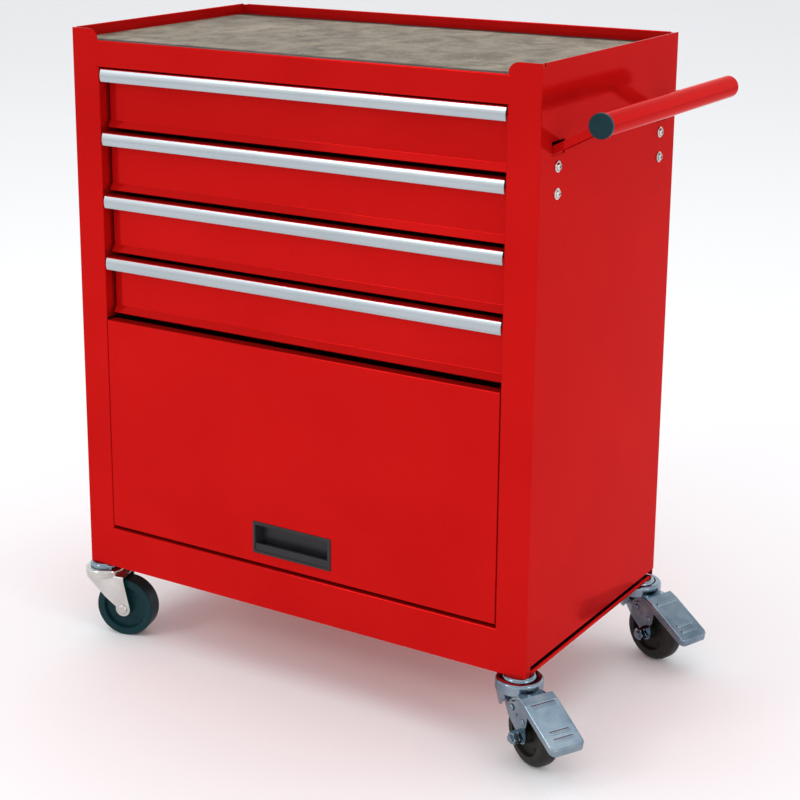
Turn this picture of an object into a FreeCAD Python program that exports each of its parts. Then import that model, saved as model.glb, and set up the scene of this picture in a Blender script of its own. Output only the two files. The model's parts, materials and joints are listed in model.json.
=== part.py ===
import FreeCAD, Part
import math
import os

# A rolling tool box: a folded-steel cabinet on four swivel casters, with four
# drawers on ball slides, a tuck-under door below them and a push handle on the
# right. Millimetres, +Z up. The pieces are drawn in the cabinet's own place:
# x = 0 in the middle of its width, y = 0 on its front face, z = 0 on the floor.
# At the end everything moves so that the origin lies on the floor, under the
# middle of the whole outline, handle and brake pedals included.

V = FreeCAD.Vector
X_AXIS = V(1, 0, 0)
Y_AXIS = V(0, 1, 0)
Z_AXIS = V(0, 0, 1)

# ---- Driving dimensions: cabinet ----
WIDTH = 616.0
DEPTH = 340.0
BODY_HEIGHT = 670.0
CASTER_HEIGHT = 95.0
SHEET = 1.0
BEND = 1.0
POST_WIDTH = 38.5
BUTT = 2.5
LIP_HEIGHT = 13.0
HEM_DEPTH = 9.0
HEM_START = 8.0
REAR_FLANGE = 17.0
RAIL_HEIGHT = 31.0
MAT_THICKNESS = 3.0
SILL_HEIGHT = 51.0
JAMB_DEPTH = 45.0
JAMB_DEPTH_LOW = 10.0
SKIRT_GAP = 10.5
SKIRT_START = 12.0
LEDGE_START = 26.0
TRAY_HEM = 4.0
UPRIGHT_FRONT = 314.0
UPRIGHT_BACK = 336.0
SILL_RETURN = 18.0
SILL_HEM = 9.0
TRAY_EDGE = 15.0
TRAY_WALL = 30.0
TRAY_WALL_INSET = 23.0
SHELF_FRONT = 22.0
SHELF_EDGE = 8.0

HALF_WIDTH = WIDTH / 2
OPENING_HALF = HALF_WIDTH - POST_WIDTH
BODY_BOTTOM = CASTER_HEIGHT
LIP_TOP = BODY_BOTTOM + BODY_HEIGHT
MAT_TOP = LIP_TOP - LIP_HEIGHT
DECK_TOP = MAT_TOP - MAT_THICKNESS
RAIL_BOTTOM = MAT_TOP - RAIL_HEIGHT
SILL_TOP = BODY_BOTTOM + SILL_HEIGHT
INNER_HALF = HALF_WIDTH - SHEET
BACK_FACE = DEPTH - SHEET
FLANGE_FACE = DEPTH - 2 * SHEET

# ---- Driving dimensions: drawers and their slides ----
DRAWER_COUNT = 4
DRAWER_PITCH = 75.3
DRAWER_TRAVEL = 250.0
FRONT_HALF = 266.5
FRONT_SETBACK = 16.0
FRONT_DROP = 68.5
FLARE_DROP = 8.0
FLARE_OUT = 5.8
PULL_HALF = 267.7
PULL_HEIGHT = 14.0
TRAY_DEPTH = 290.0
TRAY_HEIGHT = 52.0
TRAY_DROP = 64.0
LINER_THICKNESS = 2.0
SLIDE_WIDTH = 13.0
SLIDE_DROP = 38.0
RAIL_SHEET = 1.2
# Where each slide member runs in depth, and half its height.
OUTER_RAIL = (22.0, 326.0)
OUTER_RAIL_HALF = 21.0
MIDDLE_RAIL = (24.0, 314.0)
MIDDLE_RAIL_HALF = 17.5
INNER_RAIL = (20.0, 306.0)
INNER_RAIL_HALF = 12.5

FIRST_PULL_TOP = RAIL_BOTTOM - 3.0
TRAY_HALF = OPENING_HALF - SLIDE_WIDTH
TRAY_FRONT = FRONT_SETBACK + SHEET
TRAY_BACK = TRAY_FRONT + TRAY_DEPTH

# ---- Driving dimensions: door ----
DOOR_HALF = 268.7
DOOR_BOTTOM = BODY_BOTTOM + 55.3
DOOR_TOP = BODY_BOTTOM + 320.5
DOOR_THICKNESS = 14.0
DOOR_TRAVEL = 255.0
DOOR_ANGLE = 90.0
MAGNET_ACROSS = (170.0, 214.0)
MAGNET_DEEP = (12.0, 17.0)
HINGE_Y = 8.0
HINGE_Z = DOOR_TOP - 9.5
ROD_RADIUS = 2.5
RUNNING_FIT = 0.05
CUP_HALF = 54.8
CUP_BOTTOM = BODY_BOTTOM + 68.0
CUP_TOP = BODY_BOTTOM + 107.5
SHELF_BOTTOM = BODY_BOTTOM + 324.0

# ---- Driving dimensions: push handle ----
ARM_PLACES = (41.0, 299.0)
ARM_WIDTH = 27.0
ARM_SHEET = 2.0
ARM_DEPTH = 8.0
ARM_ROOT = BODY_BOTTOM + 578.9
SLOT_WIDTH = 29.4
SLOT_LOW = BODY_BOTTOM + 572.4
SLOT_HIGH = BODY_BOTTOM + 587.4
TUBE_RADIUS = 12.5
TUBE_WALL = 1.5
TUBE_X = HALF_WIDTH + 65.0
TUBE_Z = BODY_BOTTOM + 613.0
TUBE_START = 5.0
TUBE_EDGE = 1.0
TUBE_END = 335.0
SCREW_HEIGHTS = (BODY_BOTTOM + 531.6, BODY_BOTTOM + 560.2)
SCREW_RADIUS = 2.5
CAP_THICKNESS = 5.0
CAP_FLANGE = 0.8
SPIGOT = 14.0

# ---- Driving dimensions: casters ----
# Each caster: name, side (-1 left, 1 right), distance from the cabinet's front,
# the way it trails in degrees from +X, and whether it has a brake.
CASTER_INSET = 13.0
CASTER_FRONT = 12.0
CASTERS = (
    ("front_left", -1, CASTER_FRONT, 15.0, False),
    ("front_right", 1, CASTER_FRONT, -28.0, True),
    ("rear_left", -1, DEPTH - CASTER_FRONT, 15.0, False),
    ("rear_right", 1, DEPTH - CASTER_FRONT, -20.0, True),
)
WHEEL_RADIUS = 37.5
WHEEL_WIDTH = 24.0
TRAIL = 30.0
LEG_INSIDE = 15.0
LEG_SHEET = 2.5
STEM_RADIUS = 5.0
AXLE_RADIUS = 4.0
# Nuts: width across the flats and height.
HANDLE_NUT = (8.0, 4.0)
STEM_NUT = (14.0, 8.0)
AXLE_NUT = (13.0, 5.6)
CROWN_LOW = 78.0
CREASE = 6.0
RACE_RADIUS = 25.0
RACE_TOP = 88.2
BOWL_RADIUS = 27.0
BOWL_TOP = 91.8
BOWL_INSIDE = 20.6
SHROUD_LOW = 61.0
SHROUD_RADII = (22.5, 26.3)
SHROUD_REACH = 8.0
CAP_RADIUS = 19.0
CAP_LOW = 88.6
PEDAL_PIVOT = (16.0, 66.0)
PEDAL_LOBE = (36.0, 56.5)
PEDAL_HALF = 22.0
PEDAL_SHEET = 2.2
PEDAL_SKIRT = 8.0
PEDAL_LINE = ((33.5, 83.2), (43.0, 79.5), (96.0, 49.8))
# Beads across the tread: u, height, half length and radius.
PEDAL_BEADS = ((46.0, 76.4, 13.5, 3.0), (77.0, 59.0, 11.0, 2.8), (85.0, 54.5, 11.0, 2.8))
PEDAL_LIFT = 15.0
# Shoulder radius of the tread and radius of the sunk web, plain and braked.
PLAIN_WHEEL = (2.0, 28.0)
BRAKED_WHEEL = (9.0, 24.5)
# Marks in the wheel's web: how far from the axle, their radius and depth.
WEB_MARKS = (19.0, 1.7, 0.8)


# ---- Tools for drawing pieces ----

def box(x, y, z):
    """A block from three (low, high) pairs."""
    return Part.makeBox(x[1] - x[0], y[1] - y[0], z[1] - z[0], V(x[0], y[0], z[0]))


def wide_box(half, y, z):
    """A block centred across the cabinet's width."""
    return box((-half, half), y, z)


def fuse(shapes):
    """One solid from pieces that touch or overlap."""
    return shapes[0].fuse(shapes[1:]).removeSplitter()


def mirrored(shape):
    """The same piece on the other side of the cabinet."""
    return shape.mirror(V(0, 0, 0), X_AXIS)


def both_sides(shape):
    """A left and a right copy as two separate solids."""
    return Part.makeCompound([shape, mirrored(shape)])


def group(shapes):
    """Separate solids that share one node."""
    return Part.makeCompound(shapes)


def rod(start, direction, length, radius):
    return Part.makeCylinder(radius, length, start, direction)


def unit(ax, ay):
    length = math.hypot(ax, ay)
    return ax / length, ay / length


def offset_path(points, distance):
    """The path moved to its left by a distance, with mitred corners."""
    moved = []
    last = len(points) - 1
    for i, (px, py) in enumerate(points):
        before = points[max(i - 1, 0)]
        after = points[min(i + 1, last)]
        if i == 0:
            before = (2 * px - after[0], 2 * py - after[1])
        if i == last:
            after = (2 * px - before[0], 2 * py - before[1])
        ax, ay = unit(px - before[0], py - before[1])
        bx, by = unit(after[0] - px, after[1] - py)
        nx, ny = unit(-ay - by, ax + bx)
        stretch = distance / (nx * -ay + ny * ax)
        moved.append((px + nx * stretch, py + ny * stretch))
    return moved


def rounded_edges(points, radius_left, radius_right, place):
    """Straight runs joined by arcs. A left turn takes radius_left."""
    edges = []
    start = points[0]
    for i in range(1, len(points) - 1):
        px, py = points[i]
        ax, ay = unit(px - points[i - 1][0], py - points[i - 1][1])
        bx, by = unit(points[i + 1][0] - px, points[i + 1][1] - py)
        turn = math.atan2(ax * by - ay * bx, ax * bx + ay * by)
        radius = radius_left if turn > 0 else radius_right
        if radius < 0.01:
            edges.append(Part.makeLine(place(*start), place(px, py)))
            start = (px, py)
            continue
        back = radius * math.tan(abs(turn) / 2)
        bulge = radius / math.cos(turn / 2) - radius
        mx, my = unit(bx - ax, by - ay)
        arc_start = (px - ax * back, py - ay * back)
        arc_end = (px + bx * back, py + by * back)
        middle = (px + mx * bulge, py + my * bulge)
        edges.append(Part.makeLine(place(*start), place(*arc_start)))
        edges.append(Part.Arc(place(*arc_start), place(*middle), place(*arc_end)).toShape())
        start = arc_end
    edges.append(Part.makeLine(place(*start), place(*points[-1])))
    return edges


def folded(points, place, along, thickness=SHEET, inside=BEND):
    """A folded sheet: the path is one skin, the sheet's thickness lies to its
    left, its bends are round, and it runs along a vector."""
    other = offset_path(points, thickness)
    outside = inside + thickness
    near = rounded_edges(points, inside + thickness, inside, place)
    far = rounded_edges(other, inside, outside, place)
    caps = [
        Part.makeLine(place(*points[-1]), place(*other[-1])),
        Part.makeLine(place(*other[0]), place(*points[0])),
    ]
    wire = Part.Wire(Part.__sortEdges__(near + far + caps))
    return Part.Face(wire).extrude(along)


def in_yz(x):
    """Turns (y, z) pairs into points on the plane at x."""
    return lambda y, z: V(x, y, z)


def in_xy(z):
    return lambda x, y: V(x, y, z)


def in_xz(y):
    return lambda x, z: V(x, y, z)


def plate(points, place, along):
    """A flat plate with straight edges."""
    corners = [place(*p) for p in points]
    return Part.Face(Part.makePolygon(corners + corners[:1])).extrude(along)


def hem(start, direction, length, inward):
    """A rolled edge along a lip: a second layer folded inwards, round on top.
    start is on the lip's outer face at the top of the lip."""
    across = inward * (2 * SHEET)
    low = start - Z_AXIS * HEM_DEPTH
    centre = start + inward * SHEET - Z_AXIS * SHEET
    wire = Part.Wire([
        Part.makeLine(low, start - Z_AXIS * SHEET),
        Part.Arc(start - Z_AXIS * SHEET, centre + Z_AXIS * SHEET, centre + inward * SHEET).toShape(),
        Part.makeLine(centre + inward * SHEET, low + across),
        Part.makeLine(low + across, low),
    ])
    return Part.Face(wire).extrude(direction * length)


def hex_prism(centre, direction, across_flats, height, bore):
    """A nut or bolt head: a six-sided prism, with a bore if it has one."""
    corner = across_flats / math.sqrt(3)
    turn = FreeCAD.Rotation(Z_AXIS, direction)
    points = []
    for i in range(7):
        angle = math.radians(60 * i)
        flat = V(corner * math.cos(angle), corner * math.sin(angle), 0)
        points.append(centre + turn.multVec(flat))
    prism = Part.Face(Part.makePolygon(points)).extrude(direction * height)
    chamfer = Part.makeCone(corner + height * 0.55, corner * 0.86, height, centre, direction)
    prism = prism.common(chamfer)
    if bore > 0:
        prism = prism.cut(rod(centre, direction, height, bore))
    return prism


# ---- Cabinet ----

def caster_spot(caster):
    """The point on the floor under a caster's stem."""
    side, distance = caster[1:3]
    return V(side * (HALF_WIDTH - CASTER_INSET), distance, 0)


def side_panel(side):
    """One sheet: side wall, front post, jamb, rear flange and a ledge folded
    inwards at its foot, drawn on the left and mirrored for the right."""
    path = [
        (-HALF_WIDTH, DEPTH),
        (-HALF_WIDTH, 0),
        (-OPENING_HALF, 0),
        (-OPENING_HALF, JAMB_DEPTH),
    ]
    wall = folded(path, in_xy(BODY_BOTTOM), Z_AXIS * BODY_HEIGHT)
    flange_height = (BODY_BOTTOM + SKIRT_GAP, DECK_TOP - 4)
    flange = box((-INNER_HALF, -INNER_HALF + REAR_FLANGE), (FLANGE_FACE, BACK_FACE), flange_height)
    roll = hem(V(-HALF_WIDTH, HEM_START, LIP_TOP), Y_AXIS, DEPTH - HEM_START - 11, X_AXIS)
    panel = fuse([wall, flange, roll])
    # The post's top is rounded down to the top rail, with a notch behind it
    # where the rolled edge begins, and the jamb stops below the rail.
    beyond = -OPENING_HALF + 1
    ear = LIP_HEIGHT
    corner = box((-OPENING_HALF - ear, beyond), (-1, BEND + SHEET + 1), (MAT_TOP, LIP_TOP + 1))
    corner = corner.cut(rod(V(-OPENING_HALF - ear, -2, MAT_TOP), Y_AXIS, 9, ear))
    notch = box((-HALF_WIDTH - 1, -HALF_WIDTH + 3), (3.5, HEM_START), (LIP_TOP - 4, LIP_TOP + 1))
    behind = box((-INNER_HALF + BEND, beyond), (SHEET, JAMB_DEPTH + 1), (RAIL_BOTTOM, LIP_TOP + 1))
    # Low down the jamb is shallow, and it opens where the door's guides pass.
    jamb = (-OPENING_HALF - 2, beyond)
    gate_low = SHELF_BOTTOM - 24
    low = box(jamb, (JAMB_DEPTH_LOW, JAMB_DEPTH + 1), (0, gate_low))
    gate = box(jamb, (SHEET + BEND, JAMB_DEPTH + 1), (gate_low, SHELF_BOTTOM - 1))
    # The wall stops short of the base tray, whose hem shows below it.
    skirt_wide = (-HALF_WIDTH - 1, -INNER_HALF + BEND)
    skirt = box(skirt_wide, (SKIRT_START, DEPTH + 1), (0, BODY_BOTTOM + SKIRT_GAP))
    floor = wide_box(INNER_HALF, (SHEET, DEPTH - 1), (BODY_BOTTOM, BODY_BOTTOM + SHEET))
    # The top rail and the sill butt against the post's face, flush with it.
    butt = (-OPENING_HALF - BUTT, beyond)
    rail_joint = box(butt, (-1, JAMB_DEPTH + 1), (RAIL_BOTTOM, MAT_TOP))
    sill_joint = box(butt, (-1, JAMB_DEPTH + 1), (0, SILL_TOP))
    panel = panel.cut([corner, notch, behind, low, gate, skirt, floor, rail_joint, sill_joint])
    # The ledge closes the gap above the tray's hem, up to the tray's wall.
    ledge_wide = (-HALF_WIDTH, TRAY_WALL_INSET - INNER_HALF)
    ledge_height = (BODY_BOTTOM + SKIRT_GAP, BODY_BOTTOM + SKIRT_GAP + SHEET)
    panel = fuse([panel, box(ledge_wide, (LEDGE_START, UPRIGHT_FRONT - SHEET), ledge_height)])
    if side < 0:
        return panel
    through = (INNER_HALF - 1, HALF_WIDTH + 1)
    cuts = []
    for place in ARM_PLACES:
        slot = (place - SLOT_WIDTH / 2, place + SLOT_WIDTH / 2)
        cuts.append(box(through, slot, (SLOT_LOW, SLOT_HIGH)))
        for height in SCREW_HEIGHTS:
            cuts.append(rod(V(INNER_HALF - 1, place, height), X_AXIS, 3, SCREW_RADIUS + 0.2))
    return mirrored(panel).cut(cuts)


def back_panel():
    """The flat back, with the rolled lip that stands above the top deck."""
    sheet = wide_box(INNER_HALF, (BACK_FACE, DEPTH), (BODY_BOTTOM + 2, LIP_TOP - SHEET))
    roll = hem(V(-INNER_HALF + 8, DEPTH, LIP_TOP), X_AXIS, 2 * INNER_HALF - 16, V(0, -1, 0))
    return fuse([sheet, roll])


def top_panel():
    """The deck under the mat, folded down in front into the top rail."""
    deck = wide_box(INNER_HALF, (SHEET, FLANGE_FACE), (DECK_TOP - SHEET, DECK_TOP))
    half = OPENING_HALF + BUTT
    path = [(2 * SHEET, MAT_TOP), (0, MAT_TOP), (0, RAIL_BOTTOM), (FRONT_SETBACK - 2, RAIL_BOTTOM)]
    rail = folded(path, in_yz(-half), X_AXIS * (2 * half), inside=0.5)
    step = wide_box(OPENING_HALF, (SHEET, 2 * SHEET), (DECK_TOP - SHEET, MAT_TOP - SHEET))
    return fuse([deck, rail, step])


def front_sill():
    """The rail below the door, folded back on top for the door to close on."""
    half = OPENING_HALF + BUTT
    path = [(SILL_RETURN, SILL_TOP - SILL_HEM), (SILL_RETURN, SILL_TOP), (0, SILL_TOP), (0, BODY_BOTTOM)]
    return folded(path, in_yz(-half), X_AXIS * (2 * half))


def base_tray():
    """The floor of the cabinet, with a rolled hem along each side, an upturned
    edge in front and behind, and a wall behind the casters' nuts."""
    edge_height = (BODY_BOTTOM, BODY_BOTTOM + TRAY_EDGE)
    floor = wide_box(INNER_HALF, (SHEET, BACK_FACE), (BODY_BOTTOM, BODY_BOTTOM + SHEET))
    hem_height = (BODY_BOTTOM, BODY_BOTTOM + TRAY_HEM)
    roll = box((HALF_WIDTH - 3, HALF_WIDTH), (SKIRT_START + 2, DEPTH - 11), hem_height)
    long_tops = [e for e in roll.Edges if e.BoundBox.ZMin > BODY_BOTTOM + 3 and e.BoundBox.YLength > 9]
    roll = roll.makeFillet(1.4, long_tops)
    front_edge = wide_box(OPENING_HALF - 1, (SHEET, 2 * SHEET), edge_height)
    rear_edge = wide_box(OPENING_HALF, (FLANGE_FACE - SHEET, FLANGE_FACE), edge_height)
    wall_face = INNER_HALF - TRAY_WALL_INSET
    wall_deep = (4, UPRIGHT_FRONT - SHEET)
    wall = box((wall_face - SHEET, wall_face), wall_deep, (BODY_BOTTOM, BODY_BOTTOM + TRAY_WALL))
    tray = fuse([floor, roll, mirrored(roll), front_edge, rear_edge, wall, mirrored(wall)])
    for caster in CASTERS:
        stem_foot = caster_spot(caster) + Z_AXIS * (BODY_BOTTOM - 1)
        tray = tray.cut(rod(stem_foot, Z_AXIS, 3, STEM_RADIUS + 0.2))
    return tray


def divider_shelf():
    """The sheet between the drawers and the compartment that the door closes."""
    depth = (SHELF_FRONT, FLANGE_FACE - SHEET)
    sheet = wide_box(OPENING_HALF, depth, (SHELF_BOTTOM, SHELF_BOTTOM + SHEET))
    edge = box((OPENING_HALF - SHEET, OPENING_HALF), depth, (SHELF_BOTTOM, SHELF_BOTTOM + SHELF_EDGE))
    return fuse([sheet, edge, mirrored(edge)])


def rear_uprights():
    """Two channels inside the rear corners that carry the slides."""
    path = [
        (INNER_HALF, UPRIGHT_BACK),
        (OPENING_HALF, UPRIGHT_BACK),
        (OPENING_HALF, UPRIGHT_FRONT),
        (INNER_HALF, UPRIGHT_FRONT),
    ]
    foot = BODY_BOTTOM + TRAY_EDGE + SHEET
    upright = folded(path, in_xy(foot), Z_AXIS * (DECK_TOP - SHEET - foot))
    return both_sides(upright)


def top_mat():
    """The anti-slip mat that lies on the deck between the lips."""
    return wide_box(INNER_HALF - 1.5, (2.6, FLANGE_FACE - 1.6), (DECK_TOP, MAT_TOP))


# ---- Drawers ----

def pull_top(number):
    return FIRST_PULL_TOP - (number - 1) * DRAWER_PITCH


def drawer_tray(number):
    """The open box of a drawer, with a folded-in rim along its sides."""
    low = pull_top(number) - TRAY_DROP
    high = low + TRAY_HEIGHT
    outside = wide_box(TRAY_HALF, (TRAY_FRONT, TRAY_BACK), (low, high))
    inside = wide_box(TRAY_HALF - SHEET, (TRAY_FRONT + SHEET, TRAY_BACK - SHEET), (low + SHEET, high + 1))
    rim = box((TRAY_HALF - 5, TRAY_HALF), (TRAY_FRONT, TRAY_BACK), (high - SHEET, high))
    return fuse([outside.cut(inside), rim, mirrored(rim)])


def drawer_front(number):
    """The painted front: a shelf over the pull, the face, and a flared foot."""
    top = pull_top(number)
    face = FRONT_SETBACK
    path = [
        (1.6, top),
        (face, top),
        (face, top - FRONT_DROP + FLARE_DROP),
        (face - FLARE_OUT, top - FRONT_DROP),
    ]
    return folded(path, in_yz(-FRONT_HALF), X_AXIS * (2 * FRONT_HALF))


def drawer_pull(number):
    """The aluminium grip along the top of a front: a bowed strip, a web under
    the front's shelf and a short clip against its face."""
    top = pull_top(number)
    foot = top - PULL_HEIGHT
    place = in_yz(-PULL_HALF)
    clip = FRONT_SETBACK - 1.2
    edges = [
        Part.Arc(place(1.9, top), place(0.1, top - 8.6), place(1.4, foot)).toShape(),
        Part.Arc(place(1.4, foot), place(2.2, foot - 0.5), place(2.8, foot + 0.4)).toShape(),
        Part.Arc(place(2.8, foot + 0.4), place(1.6, top - 8.6), place(3.4, top - 1.5)).toShape(),
        Part.makeLine(place(3.4, top - 1.5), place(clip - 1.2, top - 1.5)),
        Part.makeLine(place(clip - 1.2, top - 1.5), place(clip - 1.2, top - 7)),
        Part.makeLine(place(clip - 1.2, top - 7), place(clip, top - 7)),
        Part.makeLine(place(clip, top - 7), place(clip, top)),
        Part.makeLine(place(clip, top), place(1.9, top)),
    ]
    return Part.Face(Part.Wire(edges)).extrude(X_AXIS * (2 * PULL_HALF))


def drawer_liner(number):
    """The soft mat in the bottom of a drawer."""
    low = pull_top(number) - TRAY_DROP + SHEET
    return wide_box(TRAY_HALF - 2, (TRAY_FRONT + 2, TRAY_BACK - 2), (low, low + LINER_THICKNESS))


def channel(web, reach, half_height, depth, middle):
    """A slide member on the right: a web at x = web and two flanges that reach
    from x = reach[0] to reach[1]."""
    back = box((web, web + RAIL_SHEET), depth, (middle - half_height, middle + half_height))
    upper = box(reach, depth, (middle + half_height - RAIL_SHEET, middle + half_height))
    lower = box(reach, depth, (middle - half_height, middle - half_height + RAIL_SHEET))
    return fuse([back, upper, lower])


def outer_rail(number):
    """The fixed member of a slide, against the jamb and the rear upright."""
    middle = pull_top(number) - SLIDE_DROP
    web = OPENING_HALF - RAIL_SHEET
    return channel(web, (web - 8.5, OPENING_HALF), OUTER_RAIL_HALF, OUTER_RAIL, middle)


def middle_rails(number):
    """The travelling members, one on each side."""
    middle = pull_top(number) - SLIDE_DROP
    web = TRAY_HALF + 6.2
    return both_sides(channel(web, (web - 3, web + 4.2), MIDDLE_RAIL_HALF, MIDDLE_RAIL, middle))


def inner_rails(number):
    """The members on the drawer, one on each side."""
    middle = pull_top(number) - SLIDE_DROP
    reach = (TRAY_HALF, TRAY_HALF + 5.4)
    return both_sides(channel(TRAY_HALF, reach, INNER_RAIL_HALF, INNER_RAIL, middle))


# ---- Door ----

def door_panel():
    """A pan: the skin with a flange on all four sides, bored for the rod."""
    outside = wide_box(DOOR_HALF, (0, DOOR_THICKNESS + 4), (DOOR_BOTTOM, DOOR_TOP))
    front_edges = [e for e in outside.Edges if e.BoundBox.YMax < 0.1]
    outside = outside.makeFillet(1.4, front_edges)
    outside = outside.common(wide_box(DOOR_HALF, (0, DOOR_THICKNESS), (DOOR_BOTTOM, DOOR_TOP)))
    inside_height = (DOOR_BOTTOM + SHEET, DOOR_TOP - SHEET)
    inside = wide_box(DOOR_HALF - SHEET, (SHEET, DOOR_THICKNESS + 1), inside_height)
    panel = outside.cut(inside)
    bore = rod(V(-DOOR_HALF - 1, HINGE_Y, HINGE_Z), X_AXIS, 2 * DOOR_HALF + 2, ROD_RADIUS + RUNNING_FIT)
    window = wide_box(CUP_HALF - 2.2, (-1, SHEET + 1), (CUP_BOTTOM + 2.2, CUP_TOP - 2.2))
    return panel.cut([bore, window])


def door_pull():
    """The recessed pull: a rim on the skin and a pocket behind a lip."""
    rim = wide_box(CUP_HALF, (-1.4, 0), (CUP_BOTTOM, CUP_TOP))
    rim = rim.makeFillet(1.0, [e for e in rim.Edges if e.BoundBox.YMax < -1.3 or e.BoundBox.YLength > 1.2])
    shell = wide_box(CUP_HALF - 2.5, (0, 12.8), (CUP_BOTTOM + 2.5, CUP_TOP - 2.5))
    body = fuse([rim, shell])
    lip_top = CUP_BOTTOM + 12.5
    mouth_high = CUP_TOP - 3.6
    mouth_half = CUP_HALF - 3.6
    front = Part.makePolygon([V(x, -2, z) for x, z in (
        (-mouth_half, lip_top), (mouth_half, lip_top), (mouth_half, mouth_high),
        (-mouth_half, mouth_high), (-mouth_half, lip_top))])
    deep_half = mouth_half - 4.5
    deep = Part.makePolygon([V(x, 11.4, z) for x, z in (
        (-deep_half, lip_top), (deep_half, lip_top), (deep_half, mouth_high - 4.5),
        (-deep_half, mouth_high - 4.5), (-deep_half, lip_top))])
    mouth = Part.makeLoft([front, deep], True, True)
    pocket = wide_box(deep_half, (3.0, 11.4), (CUP_BOTTOM + 4.5, lip_top + 1))
    step = wide_box(mouth_half, (-2, -0.7), (CUP_BOTTOM + 3.4, lip_top + 1))
    return body.cut([mouth, pocket, step])


def door_rod():
    """The rod that the door hangs on."""
    reach = OPENING_HALF + 12.5
    return rod(V(-reach, HINGE_Y, HINGE_Z), X_AXIS, 2 * reach, ROD_RADIUS)


def door_sliders():
    """Nylon blocks on the rod's ends that run in the guides."""
    across = (OPENING_HALF + 2.0, OPENING_HALF + 14.0)
    block = box(across, (HINGE_Y - 6, HINGE_Y + 6), (HINGE_Z - 4.5, HINGE_Z + 4.5))
    block = block.makeFillet(1.2, [e for e in block.Edges if e.BoundBox.XLength > 5])
    bore = rod(V(OPENING_HALF, HINGE_Y, HINGE_Z), X_AXIS, 13.0, ROD_RADIUS + RUNNING_FIT)
    return both_sides(block.cut(bore))


def door_guides():
    """The channels that the blocks run in, each with an angle to the side wall."""
    depth = (3, UPRIGHT_FRONT)
    near = OPENING_HALF + 1.4
    far = OPENING_HALF + 15.4
    upper = box((near, far), depth, (HINGE_Z + 4.8, HINGE_Z + 4.8 + SHEET))
    lower = box((near, far), depth, (HINGE_Z - 4.8 - SHEET, HINGE_Z - 4.8))
    web = box((far, far + SHEET), depth, (HINGE_Z - 4.8 - SHEET, HINGE_Z + 4.8 + SHEET))
    arm = box((near + 8, INNER_HALF), depth, (HINGE_Z + 4.8 + SHEET, HINGE_Z + 4.8 + 2 * SHEET))
    foot = box((INNER_HALF - SHEET, INNER_HALF), depth, (HINGE_Z - 6, HINGE_Z + 4.8 + 2 * SHEET))
    return both_sides(fuse([upper, lower, web, arm, foot]))


def door_magnets():
    """Magnetic catches on the sill, just under the closed door."""
    block = box(MAGNET_ACROSS, MAGNET_DEEP, (SILL_TOP, DOOR_BOTTOM - 0.5))
    return both_sides(block)


# ---- Push handle ----

def handle_arm(place):
    """A channel arm: a flat tab inside the wall, and a slope out to the tube."""
    half = ARM_WIDTH / 2
    rise = math.atan2(TUBE_Z - ARM_ROOT, TUBE_X - HALF_WIDTH)
    turn = FreeCAD.Rotation(Y_AXIS, -math.degrees(rise))
    length = (TUBE_X - HALF_WIDTH) / math.cos(rise)
    web = box((-2.5, length), (-half, half), (ARM_DEPTH / 2 - ARM_SHEET, ARM_DEPTH / 2))
    cheek = box((-1.5, length), (half - ARM_SHEET, half), (-ARM_DEPTH / 2, ARM_DEPTH / 2))
    other = box((-1.5, length), (-half, -half + ARM_SHEET), (-ARM_DEPTH / 2, ARM_DEPTH / 2))
    slope = fuse([web, cheek, other])
    slope.Placement = FreeCAD.Placement(V(HALF_WIDTH, place, ARM_ROOT), turn)
    slope = slope.cut(rod(V(TUBE_X, 0, TUBE_Z), Y_AXIS, DEPTH, TUBE_RADIUS + 0.02))
    slope = slope.cut(box((TUBE_X, TUBE_X + 20), (0, DEPTH), (0, LIP_TOP)))
    tab_top = ARM_ROOT + 3.0
    tab_height = (SCREW_HEIGHTS[0] - 12, tab_top)
    tab = box((INNER_HALF - ARM_SHEET, INNER_HALF), (place - half, place + half), tab_height)
    arm = fuse([slope, tab])
    for height in SCREW_HEIGHTS:
        arm = arm.cut(rod(V(INNER_HALF - 4, place, height), X_AXIS, 6, SCREW_RADIUS + 0.2))
    return arm


def handle_tube():
    """The bar, with a rounded edge at its rear end."""
    tube = rod(V(TUBE_X, TUBE_START, TUBE_Z), Y_AXIS, TUBE_END - TUBE_START, TUBE_RADIUS)
    tube = tube.makeFillet(TUBE_EDGE, [e for e in tube.Edges if e.BoundBox.YMin > TUBE_END - 0.1])
    bore_start = V(TUBE_X, TUBE_START - 1, TUBE_Z)
    return tube.cut(rod(bore_start, Y_AXIS, TUBE_END - TUBE_START + 2, TUBE_RADIUS - TUBE_WALL))


def handle_end_caps():
    """Two plastic plugs: in front one with a rounded flange over the tube's
    end, behind one that is pressed in flush."""
    front_end = V(TUBE_X, TUBE_START, TUBE_Z)
    rear_end = V(TUBE_X, TUBE_END, TUBE_Z)
    plug_radius = TUBE_RADIUS - TUBE_WALL - RUNNING_FIT
    flange = rod(front_end, -Y_AXIS, CAP_THICKNESS, TUBE_RADIUS + CAP_FLANGE)
    flange = flange.makeFillet(2.0, [e for e in flange.Edges if e.BoundBox.YMax < 0.1])
    front = fuse([flange, rod(front_end, Y_AXIS, SPIGOT, plug_radius)])
    rear = rod(rear_end - Y_AXIS * SPIGOT, Y_AXIS, SPIGOT, plug_radius)
    return group([front, rear])


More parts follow.
